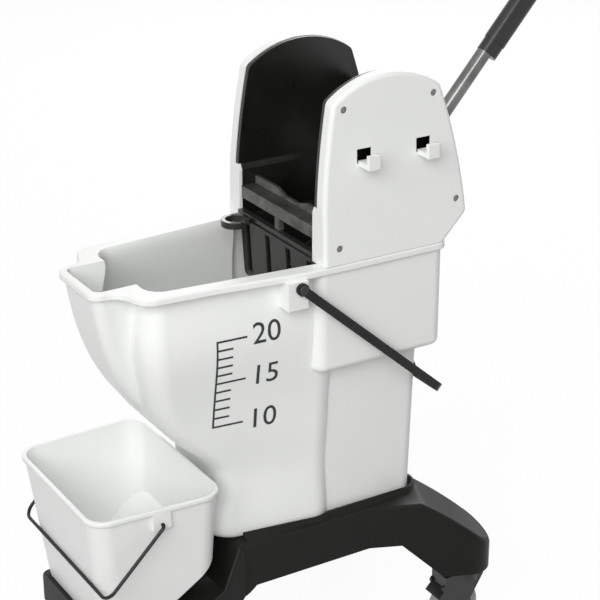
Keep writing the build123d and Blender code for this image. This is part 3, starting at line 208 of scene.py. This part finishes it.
# Spark-grained black of the base, with a breath of dust on what faces up
baseBlack = {
    "deep": (0.0080, 0.0083, 0.0075),
    "fair": (0.0140, 0.0143, 0.0130),
    "cloudScale": 9,
    "cloudDetail": 4.0,
    "dust": (0.0190, 0.0195, 0.0180),
    "dustStart": 0.35,
    "dustFull": 1.0,
    "dustMost": 0.35,
    "patchScale": 38,
    "patchDetail": 5.0,
    "patchRange": (0.35, 0.75, 0.2, 1.0),
    "shine": 0.15,
    "edge": 0.002,
    "grainScale": 1100,
    "grainDepth": 0.00006,
    "grainStrength": 0.45,
    "glossLow": 0.40,
    "glossHigh": 0.55,
    "ior": 1.5,
}


def makeBaseBlack(name):
    v = baseBlack
    finish, nodes, links, shader = startFinish(name)
    plain = objectCoords(nodes, links)
    cloud = noiseField(nodes, links, plain, v["cloudScale"], v["cloudDetail"])
    colour = cloudTones(nodes, links, cloud, v)
    upward = facingUp(nodes, links, v["dustStart"], v["dustFull"], v["dustMost"])
    patches = noiseField(nodes, links, plain, v["patchScale"], v["patchDetail"])
    patch = spread(nodes, links, patches, *v["patchRange"])
    dusty = combine(nodes, links, "MULTIPLY", upward, patch)
    links.new(shadeOver(nodes, links, dusty, colour, v["dust"]), shader.inputs["Base Color"])
    links.new(cloudGloss(nodes, links, cloud, v), shader.inputs["Roughness"])
    pits = cellField(nodes, links, plain, v["grainScale"])
    grainy = relief(nodes, links, pits, v["grainDepth"], v["grainStrength"], softEdges(nodes, v["edge"]))
    links.new(grainy, shader.inputs["Normal"])
    shader.inputs["IOR"].default_value = v["ior"]
    shader.inputs["Specular IOR Level"].default_value = v["shine"]
    return finish


# Smoother black of the wringer's inside
wringerBlack = {
    "deep": (0.0065, 0.0068, 0.0060),
    "fair": (0.013, 0.0135, 0.012),
    "cloudScale": 14,
    "cloudDetail": 4.0,
    "rubbed": (0.05, 0.05, 0.047),
    "rubStretch": (70, 70, 9),
    "rubTurn": (0, 7, 0),
    "rubDetail": 4.0,
    "rubStart": 0.66,
    "rubFull": 0.80,
    "rubMost": 0.30,
    "peelScale": 130,
    "peelDetail": 1.5,
    "peelDepth": 0.00010,
    "peelStrength": 0.5,
    "edge": 0.0015,
    "glossLow": 0.24,
    "glossHigh": 0.38,
    "ior": 1.5,
}
# the basket is wet more often and shinier; its lighter black is a painted reflection of the white inside of
# the bucket
basketBlackPaintedReflection = {
    **wringerBlack,
    "deep": (0.024, 0.0245, 0.0230),
    "fair": (0.036, 0.0365, 0.0345),
    "glossLow": 0.12,
    "glossHigh": 0.22,
}


def makeWringerBlack(name, v):
    finish, nodes, links, shader = startFinish(name)
    plain = objectCoords(nodes, links)
    cloud = noiseField(nodes, links, plain, v["cloudScale"], v["cloudDetail"])
    colour = cloudTones(nodes, links, cloud, v)
    rubs = rubMarks(nodes, links, v)
    links.new(shadeOver(nodes, links, rubs, colour, v["rubbed"]), shader.inputs["Base Color"])
    gloss = cloudGloss(nodes, links, cloud, v)
    links.new(combine(nodes, links, "ADD", gloss, rubs), shader.inputs["Roughness"])
    peel = noiseField(nodes, links, plain, v["peelScale"], v["peelDetail"])
    soft = relief(nodes, links, peel, v["peelDepth"], v["peelStrength"], softEdges(nodes, v["edge"]))
    links.new(soft, shader.inputs["Normal"])
    shader.inputs["IOR"].default_value = v["ior"]
    return finish


# Dry, scuffed black of the jaw that the mop is wrung against, pitted where it faces up
scuffedJaw = {
    "deep": (0.030, 0.031, 0.029),
    "fair": (0.135, 0.139, 0.132),
    "cloudScale": 45,
    "cloudDetail": 5.0,
    "cloudRange": (0.3, 0.65, 0, 1),
    "pitted": (0.008, 0.008, 0.007),
    "pitStart": 0.6,
    "pitFull": 0.9,
    "speckScale": 420,
    "speckDetail": 3.0,
    "speckRange": (0.42, 0.55, 0.55, 1.0),
    "speckDepth": 0.00025,
    "speckStrength": 0.5,
    "edge": 0.0012,
    "glossLow": 0.45,
    "glossHigh": 0.62,
}


def makeScuffedJaw(name):
    v = scuffedJaw
    finish, nodes, links, shader = startFinish(name)
    plain = objectCoords(nodes, links)
    cloud = noiseField(nodes, links, plain, v["cloudScale"], v["cloudDetail"])
    scuffs = spread(nodes, links, cloud, *v["cloudRange"])
    colour = twoTones(nodes, links, scuffs, v["deep"], v["fair"])
    upward = facingUp(nodes, links, v["pitStart"], v["pitFull"], 1)
    specks = noiseField(nodes, links, plain, v["speckScale"], v["speckDetail"])
    pits = combine(nodes, links, "MULTIPLY", upward, spread(nodes, links, specks, *v["speckRange"]))
    links.new(shadeOver(nodes, links, pits, colour, v["pitted"]), shader.inputs["Base Color"])
    links.new(cloudGloss(nodes, links, cloud, v), shader.inputs["Roughness"])
    rough = relief(nodes, links, specks, v["speckDepth"], v["speckStrength"], softEdges(nodes, v["edge"]))
    links.new(rough, shader.inputs["Normal"])
    return finish


# Coated wire of the two bails
coatedWire = {
    "deep": (0.004, 0.004, 0.004),
    "fair": (0.009, 0.009, 0.0085),
    "cloudScale": 40,
    "cloudDetail": 3.0,
    "lumpScale": 260,
    "lumpDetail": 2.0,
    "lumpDepth": 0.00012,
    "lumpStrength": 0.5,
    "shine": 0.3,
    "glossLow": 0.22,
    "glossHigh": 0.36,
}


def makeCoatedWire(name):
    v = coatedWire
    finish, nodes, links, shader = startFinish(name)
    plain = objectCoords(nodes, links)
    lumps = noiseField(nodes, links, plain, v["lumpScale"], v["lumpDetail"])
    cloud = noiseField(nodes, links, plain, v["cloudScale"], v["cloudDetail"])
    links.new(cloudTones(nodes, links, cloud, v), shader.inputs["Base Color"])
    links.new(cloudGloss(nodes, links, cloud, v), shader.inputs["Roughness"])
    links.new(relief(nodes, links, lumps, v["lumpDepth"], v["lumpStrength"]), shader.inputs["Normal"])
    shader.inputs["Specular IOR Level"].default_value = v["shine"]
    return finish


# Bright tube of the lever, with the lines of its drawing along it; its dark metal colour is a painted
# reflection of dark surroundings
tubePaintedDarkReflection = {
    "deep": (0.12, 0.12, 0.116),
    "fair": (0.20, 0.20, 0.195),
    "hazeScale": 30,
    "hazeDetail": 4.0,
    "hazeGloss": (0.35, 0.75, 0.16, 0.22),
    "lean": 41,
    "lineStretch": (1, 1, 0.02),
    "lineScale": 900,
    "lineDetail": 3.0,
    "lineGloss": 0.05,
    "lineDepth": 0.000002,
    "lineStrength": 0.3,
}


def makeBrightTube(name):
    v = tubePaintedDarkReflection
    finish, nodes, links, shader = startFinish(name)
    along = objectCoords(nodes, links, v["lineStretch"], (v["lean"], 0, 0))
    lines = noiseField(nodes, links, along, v["lineScale"], v["lineDetail"])
    haze = noiseField(nodes, links, objectCoords(nodes, links), v["hazeScale"], v["hazeDetail"])
    # dark metal colour: painted reflection of dark surroundings
    links.new(cloudTones(nodes, links, haze, v), shader.inputs["Base Color"])
    worn = spread(nodes, links, haze, *v["hazeGloss"])
    drawn = spread(nodes, links, lines, *noiseRange, 0, v["lineGloss"])
    links.new(combine(nodes, links, "ADD", worn, drawn), shader.inputs["Roughness"])
    links.new(relief(nodes, links, lines, v["lineDepth"], v["lineStrength"]), shader.inputs["Normal"])
    shader.inputs["Metallic"].default_value = 1
    return finish


# Soft black of the grip
softGrip = {
    "deep": (0.004, 0.004, 0.0037),
    "fair": (0.009, 0.009, 0.0084),
    "cloudScale": 45,
    "cloudDetail": 4.0,
    "pebbleScale": 1500,
    "pebbleDepth": 0.000004,
    "pebbleStrength": 0.5,
    "shine": 0.5,
    "glossLow": 0.20,
    "glossHigh": 0.28,
}


def makeSoftGrip(name):
    v = softGrip
    finish, nodes, links, shader = startFinish(name)
    plain = objectCoords(nodes, links)
    cloud = noiseField(nodes, links, plain, v["cloudScale"], v["cloudDetail"])
    links.new(cloudTones(nodes, links, cloud, v), shader.inputs["Base Color"])
    links.new(cloudGloss(nodes, links, cloud, v), shader.inputs["Roughness"])
    shader.inputs["Specular IOR Level"].default_value = v["shine"]
    pebbles = cellField(nodes, links, plain, v["pebbleScale"])
    links.new(relief(nodes, links, pebbles, v["pebbleDepth"], v["pebbleStrength"]), shader.inputs["Normal"])
    return finish


# Zinc on screws, bolts and rivets
zincPlate = {
    "dull": (0.40, 0.41, 0.41),
    "bright": (0.66, 0.66, 0.65),
    "spangleScale": 420,
    "spangleRange": (0.1, 0.7),
    "hazeScale": 700,
    "hazeDetail": 2.0,
    "hazeDepth": 0.00002,
    "hazeStrength": 0.5,
    "glossLow": 0.26,
    "glossHigh": 0.44,
}
# the screws of the covers are darker: painted shade of the deep holes they sit in
screwPaintedShade = {**zincPlate, "dull": (0.12, 0.12, 0.115), "bright": (0.24, 0.24, 0.23)}


def makeZincPlate(name, v):
    finish, nodes, links, shader = startFinish(name)
    plain = objectCoords(nodes, links)
    spangle = cellField(nodes, links, plain, v["spangleScale"])
    share = spread(nodes, links, spangle, *v["spangleRange"], 0, 1)
    links.new(twoTones(nodes, links, share, v["dull"], v["bright"]), shader.inputs["Base Color"])
    gloss = spread(nodes, links, spangle, *v["spangleRange"], v["glossLow"], v["glossHigh"])
    links.new(gloss, shader.inputs["Roughness"])
    haze = noiseField(nodes, links, plain, v["hazeScale"], v["hazeDetail"])
    links.new(relief(nodes, links, haze, v["hazeDepth"], v["hazeStrength"]), shader.inputs["Normal"])
    shader.inputs["Metallic"].default_value = 1
    return finish


# Pressed and painted castor forks
forkPaint = {
    "deep": (0.011, 0.0115, 0.011),
    "fair": (0.021, 0.0215, 0.020),
    "cloudScale": 35,
    "grainScale": 300,
    "grainDepth": 0.00008,
    "glossLow": 0.30,
    "glossHigh": 0.46,
}
# Grey wheels: a hard centre and a softer tyre
wheelHub = {
    "deep": (0.13, 0.132, 0.128),
    "fair": (0.18, 0.182, 0.178),
    "cloudScale": 55,
    "grainScale": 1300,
    "grainDepth": 0.00004,
    "glossLow": 0.36,
    "glossHigh": 0.50,
}
wheelTyre = {
    **wheelHub,
    "deep": (0.25, 0.262, 0.255),
    "fair": (0.33, 0.345, 0.335),
    "grainDepth": 0.00003,
    "glossLow": 0.30,
    "glossHigh": 0.44,
}
castorGrain = {"cloudDetail": 4.0, "grainDetail": 2.0, "grainStrength": 0.5}


def makeCastorFinish(name, v):
    finish, nodes, links, shader = startFinish(name)
    plain = objectCoords(nodes, links)
    cloud = noiseField(nodes, links, plain, v["cloudScale"], castorGrain["cloudDetail"])
    links.new(cloudTones(nodes, links, cloud, v), shader.inputs["Base Color"])
    links.new(cloudGloss(nodes, links, cloud, v), shader.inputs["Roughness"])
    grain = noiseField(nodes, links, plain, v["grainScale"], castorGrain["grainDetail"])
    grainy = relief(nodes, links, grain, v["grainDepth"], castorGrain["grainStrength"])
    links.new(grainy, shader.inputs["Normal"])
    return finish


# Natural plastic of the axle bushes
bushNatural = {
    "deep": (0.60, 0.58, 0.52),
    "fair": (0.70, 0.68, 0.62),
    "cloudScale": 120,
    "cloudDetail": 3.0,
    "glossLow": 0.35,
    "glossHigh": 0.5,
}


def makeBushNatural(name):
    v = bushNatural
    finish, nodes, links, shader = startFinish(name)
    cloud = noiseField(nodes, links, objectCoords(nodes, links), v["cloudScale"], v["cloudDetail"])
    links.new(cloudTones(nodes, links, cloud, v), shader.inputs["Base Color"])
    links.new(cloudGloss(nodes, links, cloud, v), shader.inputs["Roughness"])
    return finish


whitePlastic = makeWhiteShell("whitePlastic")
basePlastic = makeBaseBlack("basePlastic")
blackPlastic = makeWringerBlack("blackPlastic", wringerBlack)
basketPlasticPaintedReflection = makeWringerBlack("basketPlasticPaintedReflection", basketBlackPaintedReflection)
jawBlack = makeScuffedJaw("jawBlack")
wireCoat = makeCoatedWire("wireCoat")
tubeChromePaintedDarkReflection = makeBrightTube("tubeChromePaintedDarkReflection")
gripRubber = makeSoftGrip("gripRubber")
zincSteel = makeZincPlate("zincSteel", zincPlate)
screwSteelPaintedShade = makeZincPlate("screwSteelPaintedShade", screwPaintedShade)
forkBlack = makeCastorFinish("forkBlack", forkPaint)
hubGrey = makeCastorFinish("hubGrey", wheelHub)
tyreGrey = makeCastorFinish("tyreGrey", wheelTyre)
bushPlastic = makeBushNatural("bushPlastic")

dress(whitePlastic, "bucket_shell", "front_pail", "right_cover", "left_cover")
dress(basePlastic, "base_frame")
dress(basketPlasticPaintedReflection, "wringer_basket")
dress(blackPlastic, "right_cheek", "left_cheek", "press_plate", "lever_hub")
dress(jawBlack, "front_jaw")
dress(wireCoat, "bucket_bail", "pail_bail")
dress(blackPlastic, "bail_grip", "bail_pivots")
dress(tubeChromePaintedDarkReflection, "lever_tube")
dress(gripRubber, "lever_grip")
dress(zincSteel, "bucket_screws", "foot_screws", "jaw_screws")
dress(screwSteelPaintedShade, "right_cover_screws", "left_cover_screws")
dress(zincSteel, "lever_axle", "socket_bolts", "plate_bolts")
dress(bushPlastic, "right_bush", "left_bush")
for corner in ("front_left", "front_right", "rear_left", "rear_right"):
    dress(zincSteel, corner + "_stem", corner + "_rivet")
    dress(forkBlack, corner + "_fork")
    dress(hubGrey, corner + "_hub")
    dress(tyreGrey, corner + "_tyre")
print("finishes made:", len(bpy.data.materials))


# The base again, with the rounded upper edges of a moulding
softBase = {
    "round": 0.0050,
    "steps": 4,
    "weld": 0.0003,
    "level": 0.8,
    "crease": 32,
    "smooth": 30,
    "flat": 0.35,
    "highest": 0.2206,
    "lipZ": (0.1435, 0.1445),
}


def isUpperEdge(edge, v):
    if len(edge.link_faces) != 2 or not edge.is_convex:
        return False
    low, high = sorted(vert.co.z for vert in edge.verts)
    lipLow, lipHigh = v["lipZ"]
    onKerb = high > v["highest"]
    onLip = lipLow < low and high < lipHigh
    if onKerb or onLip:
        return False
    facing = sorted(face.normal.z for face in edge.link_faces)
    return facing[0] < v["flat"] < facing[1] and edge.calc_face_angle() > math.radians(v["crease"])


def makeSoftBase():
    v = softBase
    base = bpy.data.objects.new("softBase", parts["base_frame"].data.copy())
    bpy.context.scene.collection.objects.link(base)
    bpy.ops.object.select_all(action="DESELECT")
    base.select_set(True)
    bpy.context.view_layer.objects.active = base
    bpy.ops.object.mode_set(mode="EDIT")
    bpy.ops.mesh.select_mode(type="EDGE")
    bpy.ops.mesh.select_all(action="SELECT")
    bpy.ops.mesh.remove_doubles(threshold=v["weld"])
    bpy.ops.mesh.dissolve_limited(angle_limit=math.radians(v["level"]))
    bpy.ops.mesh.select_all(action="DESELECT")
    cage = bmesh.from_edit_mesh(base.data)
    upper = [edge for edge in cage.edges if isUpperEdge(edge, v)]
    for edge in upper:
        edge.select_set(True)
    bmesh.update_edit_mesh(base.data)
    bpy.ops.mesh.bevel(offset=v["round"], segments=v["steps"], affect="EDGES", clamp_overlap=False)
    bpy.ops.mesh.select_all(action="SELECT")
    bpy.ops.mesh.quads_convert_to_tris()
    bpy.ops.object.mode_set(mode="OBJECT")
    bpy.ops.object.shade_smooth_by_angle(angle=math.radians(v["smooth"]))
    evenOut = base.modifiers.new("evenOut", "WEIGHTED_NORMAL")
    evenOut.keep_sharp = True
    bpy.ops.object.modifier_apply(modifier="evenOut")
    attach(base, "frame")
    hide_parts("base_frame")
    print("base rounded along", len(upper), "edges,", len(base.data.polygons), "faces")


makeSoftBase()


# Level scale printed on the side of the bucket, in litres
levelScale = {
    "marks": {10: 0.398, 15: 0.465, 20: 0.526},
    "spineY": -0.193,
    "outside": 0.150,
    "turn": (math.radians(90), 0, math.radians(90)),
    "longTick": 0.042,
    "shortTick": 0.022,
    "line": 0.0026,
    "lineCuts": 12,
    "digitSize": 0.042,
    "digitSteps": 4,
    "digitGap": 0.007,
    "skin": 0.0003,
    "lift": 0.0001,
}
printInk = {
    "ink": (0.010, 0.0105, 0.011),
    "worn": (0.030, 0.031, 0.032),
    "wearScale": 160,
    "wearDetail": 5.0,
    "wearRange": (0.4, 0.75, 0, 1),
    "wearDepth": 0.00002,
    "wearStrength": 0.4,
    "glossLow": 0.34,
    "glossHigh": 0.50,
}


def makePrintInk(name):
    v = printInk
    finish, nodes, links, shader = startFinish(name)
    wear = noiseField(nodes, links, objectCoords(nodes, links), v["wearScale"], v["wearDetail"])
    share = spread(nodes, links, wear, *v["wearRange"])
    links.new(twoTones(nodes, links, share, v["ink"], v["worn"]), shader.inputs["Base Color"])
    links.new(cloudGloss(nodes, links, wear, v), shader.inputs["Roughness"])
    links.new(relief(nodes, links, wear, v["wearDepth"], v["wearStrength"]), shader.inputs["Normal"])
    return finish


def drawBar(y, z, width, height):
    # a flat bar that faces +X, cut up so that it can follow the wall
    v = levelScale
    bpy.ops.object.select_all(action="DESELECT")
    bpy.ops.mesh.primitive_grid_add(
        x_subdivisions=v["lineCuts"],
        y_subdivisions=v["lineCuts"],
        size=1,
        location=(v["outside"], y, z),
        rotation=v["turn"],
    )
    bar = bpy.context.object
    bar.scale = (width, height, 1)
    bpy.ops.object.transform_apply(location=True, rotation=True, scale=True)
    return bar


def drawDigits(value, y, z):
    v = levelScale
    bpy.ops.object.select_all(action="DESELECT")
    bpy.ops.object.text_add(location=(v["outside"], y, z), rotation=v["turn"])
    words = bpy.context.object
    words.data.body = str(value)
    words.data.size = v["digitSize"]
    words.data.align_y = "CENTER"
    words.data.resolution_u = v["digitSteps"]
    bpy.ops.object.convert(target="MESH")
    bpy.ops.object.transform_apply(location=True, rotation=True, scale=True)
    return bpy.context.object


def pressOnBucket(scale):
    v = levelScale
    press = scale.modifiers.new("press", "SHRINKWRAP")
    press.target = parts["bucket_shell"]
    press.wrap_method = "PROJECT"
    press.use_project_x = True
    press.use_project_y = False
    press.use_project_z = False
    press.use_negative_direction = True
    press.use_positive_direction = False
    press.offset = v["lift"]
    bpy.ops.object.modifier_apply(modifier="press")
    skin = scale.modifiers.new("skin", "SOLIDIFY")
    skin.thickness = v["skin"]
    skin.offset = 1
    bpy.ops.object.modifier_apply(modifier="skin")


def makeLevelScale():
    v = levelScale
    numbers = sorted(v["marks"])
    low, high = v["marks"][numbers[0]], v["marks"][numbers[-1]]
    prints = [drawBar(v["spineY"], (low + high) / 2, v["line"], high - low + v["line"])]
    for first, second in zip(numbers, numbers[1:]):
        for litre in range(first, second + (second == numbers[-1])):
            share = (litre - first) / (second - first)
            z = v["marks"][first] + share * (v["marks"][second] - v["marks"][first])
            reach = v["longTick"] if litre in v["marks"] else v["shortTick"]
            prints.append(drawBar(v["spineY"] + reach / 2, z, reach, v["line"]))
    digitsY = v["spineY"] + v["longTick"] + v["digitGap"]
    for value in numbers:
        prints.append(drawDigits(value, digitsY, v["marks"][value]))
    bpy.ops.object.select_all(action="DESELECT")
    for piece in prints:
        piece.select_set(True)
    bpy.context.view_layer.objects.active = prints[0]
    bpy.ops.object.join()
    scale = bpy.context.object
    scale.name = "levelScale"
    pressOnBucket(scale)
    scale.data.materials.clear()
    scale.data.materials.append(makePrintInk("printInk"))
    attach(scale, "frame")
    print("level scale printed:", len(scale.data.polygons), "faces")


makeLevelScale()


# Studio: pale floor, open soft light
studio = {
    "floorSize": 14.0,
    "floorBounce": 0.36,
    "floorSeen": 0.99,
    "floorGlow": 0.94,
    "floorRoughness": 0.9,
    "floorShine": 0.1,
    "worldGrey": 0.33,
}


def makeFloor():
    v = studio
    bpy.ops.object.select_all(action="DESELECT")
    bpy.ops.mesh.primitive_plane_add(size=v["floorSize"], location=(0, 0, 0))
    floor = bpy.context.object
    floor.name = "studioFloor"
    finish, nodes, links, shader = startFinish("studioFloorPaper")
    shader.inputs["Roughness"].default_value = v["floorRoughness"]
    shader.inputs["Specular IOR Level"].default_value = v["floorShine"]
    glow = nodes.new("ShaderNodeEmission")
    glow.inputs["Color"].default_value = (1, 1, 1, 1)
    glow.inputs["Strength"].default_value = 1
    path = nodes.new("ShaderNodeLightPath")
    tone = spread(nodes, links, path.outputs["Is Camera Ray"], 0, 1, v["floorBounce"], v["floorSeen"])
    links.new(tone, shader.inputs["Base Color"])
    seen = combine(nodes, links, "ADD", path.outputs["Is Camera Ray"], path.outputs["Is Glossy Ray"])
    mix = nodes.new("ShaderNodeMixShader")
    links.new(spread(nodes, links, seen, 0, 1, 0, v["floorGlow"]), mix.inputs[0])
    links.new(shader.outputs["BSDF"], mix.inputs[1])
    links.new(glow.outputs["Emission"], mix.inputs[2])
    links.new(mix.outputs["Shader"], nodes["Material Output"].inputs["Surface"])
    floor.data.materials.append(finish)


def makeWorld():
    # white where it is seen, grey where it lights the object
    world = bpy.data.worlds.new("studioWorld")
    bpy.context.scene.world = world
    world.use_nodes = True
    nodes, links = world.node_tree.nodes, world.node_tree.links
    back = nodes["Background"]
    back.inputs["Color"].default_value = (1, 1, 1, 1)
    path = nodes.new("ShaderNodeLightPath")
    seen = path.outputs["Is Camera Ray"]
    for ray in ("Is Transmission Ray", "Is Glossy Ray"):
        seen = combine(nodes, links, "ADD", seen, path.outputs[ray])
    strength = spread(nodes, links, seen, 0, 1, studio["worldGrey"], 1)
    links.new(strength, back.inputs["Strength"])


softBoxes = [
    # name, place, aimed at, width, height, watts
    ("topBox", (0.1, -0.2, 3.0), (0, 0, 0.5), 2.2, 2.2, 8),
    ("keyBox", (2.4, -2.6, 2.5), (0, 0, 0.5), 3.4, 2.6, 131),
    ("backBox", (-2.5, 2.3, 1.9), (0, 0, 0.5), 2.4, 2.4, 62),
]


def hangLights():
    for name, place, aim, width, height, watts in softBoxes:
        lamp = bpy.data.lights.new(name, "AREA")
        lamp.shape = "RECTANGLE"
        lamp.size = width
        lamp.size_y = height
        lamp.energy = watts
        holder = bpy.data.objects.new(name, lamp)
        bpy.context.scene.collection.objects.link(holder)
        holder.location = place
        holder.rotation_euler = (Vector(aim) - Vector(place)).to_track_quat("-Z", "Y").to_euler()


# Camera at the photograph's angle
shot = {
    "place": (1.882, -1.1505, 1.448),
    "azimuth": 58.73,
    "elevation": 23.16,
    "lens": 105.06,
    "sensor": 36.0,
    "nearest": 0.05,
}


def setCamera():
    v = shot
    eye = bpy.data.cameras.new("photoCamera")
    eye.lens = v["lens"]
    eye.sensor_width = v["sensor"]
    eye.clip_start = v["nearest"]
    holder = bpy.data.objects.new("photoCamera", eye)
    bpy.context.scene.collection.objects.link(holder)
    holder.location = v["place"]
    holder.rotation_euler = (math.radians(90 - v["elevation"]), 0, math.radians(v["azimuth"]))
    bpy.context.scene.camera = holder


makeFloor()
makeWorld()
hangLights()
setCamera()
bpy.context.scene.view_settings.view_transform = "Standard"
print("studio ready")
